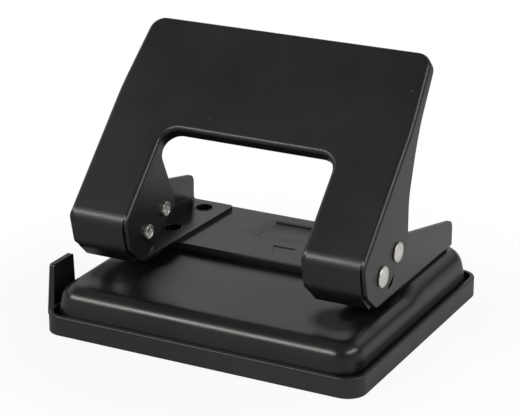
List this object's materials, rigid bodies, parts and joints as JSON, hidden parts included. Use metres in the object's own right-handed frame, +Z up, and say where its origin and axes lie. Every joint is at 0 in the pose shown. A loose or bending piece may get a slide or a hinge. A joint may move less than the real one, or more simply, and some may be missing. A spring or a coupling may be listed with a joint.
{
  "type": "two-hole paper punch",
  "caption": "Desk paper punch with a folded sheet-metal handle pressing two spring-returned punches, on a stepped base with a chip tray and sliding paper guide.",
  "frame": {"origin": "centre of the chip tray's underside, on the desk", "axes": "+X to the right as the paper enters from the front, +Y to the back, +Z up"},
  "size_m": [0.1118, 0.0944, 0.0872],
  "materials": {
    "base_paint": "satin black paint on drawn steel",
    "handle_paint": "satin black powder coat with a fine orange peel",
    "bracket_paint": "satin black paint",
    "tray_plastic": "fine matte moulded texture",
    "guide_plastic": "smooth semi-matte",
    "pin_zinc": "bright zinc plate, lightly rubbed",
    "punch_steel": "ground steel",
    "spring_steel": "drawn spring wire, lightly oiled"
  },
  "bodies": {
    "base": {"base_plate": "base_paint", "bracket_left": "bracket_paint", "foot_rivets_left": "bracket_paint", "guide_bush_left": "bracket_paint", "spring_washer_left": "spring_steel", "punch_spring_left": "spring_steel", "bracket_right": "bracket_paint", "foot_rivets_right": "bracket_paint", "guide_bush_right": "bracket_paint", "spring_washer_right": "spring_steel", "punch_spring_right": "spring_steel"},
    "handle": {"handle": "handle_paint", "pivot_pin_left": "pin_zinc", "pivot_sleeve_left": "pin_zinc", "drive_pin_left": "pin_zinc", "pivot_pin_right": "pin_zinc", "pivot_sleeve_right": "pin_zinc", "drive_pin_right": "pin_zinc"},
    "punch_left": {"punch_left": "punch_steel"},
    "punch_right": {"punch_right": "punch_steel"},
    "chip_tray": {"chip_tray": "tray_plastic"},
    "paper_guide": {"paper_guide": "guide_plastic"}
  },
  "joints": [
    {"name": "handle_hinge", "type": "hinge", "parent": "base", "child": "handle", "pos_m": [0, -0.0229, 0.0296], "axis": [-1, 0, 0], "range_deg": [0, 38], "stiffness_Nm_per_rad": 0.5, "springref_deg": -28.65},
    {"name": "punch_left_slide", "type": "slide", "parent": "base", "child": "punch_left", "axis": [0, 0, -1], "range_m": [0, 0.0076], "deforming": ["punch_spring_left"]},
    {"name": "punch_right_slide", "type": "slide", "parent": "base", "child": "punch_right", "axis": [0, 0, -1], "range_m": [0, 0.0076], "deforming": ["punch_spring_right"]},
    {"name": "chip_tray_pull", "type": "slide", "parent": "base", "child": "chip_tray", "axis": [0, 0, -1], "range_m": [0, 0.012]},
    {"name": "paper_guide_slide", "type": "slide", "parent": "chip_tray", "child": "paper_guide", "axis": [-1, 0, 0], "range_m": [0, 0.056]}
  ],
  "couplings": [
    {"joint": "punch_left_slide", "follows": "handle_hinge", "m_per_rad": 0.01119},
    {"joint": "punch_right_slide", "follows": "handle_hinge", "m_per_rad": 0.01119}
  ]
}
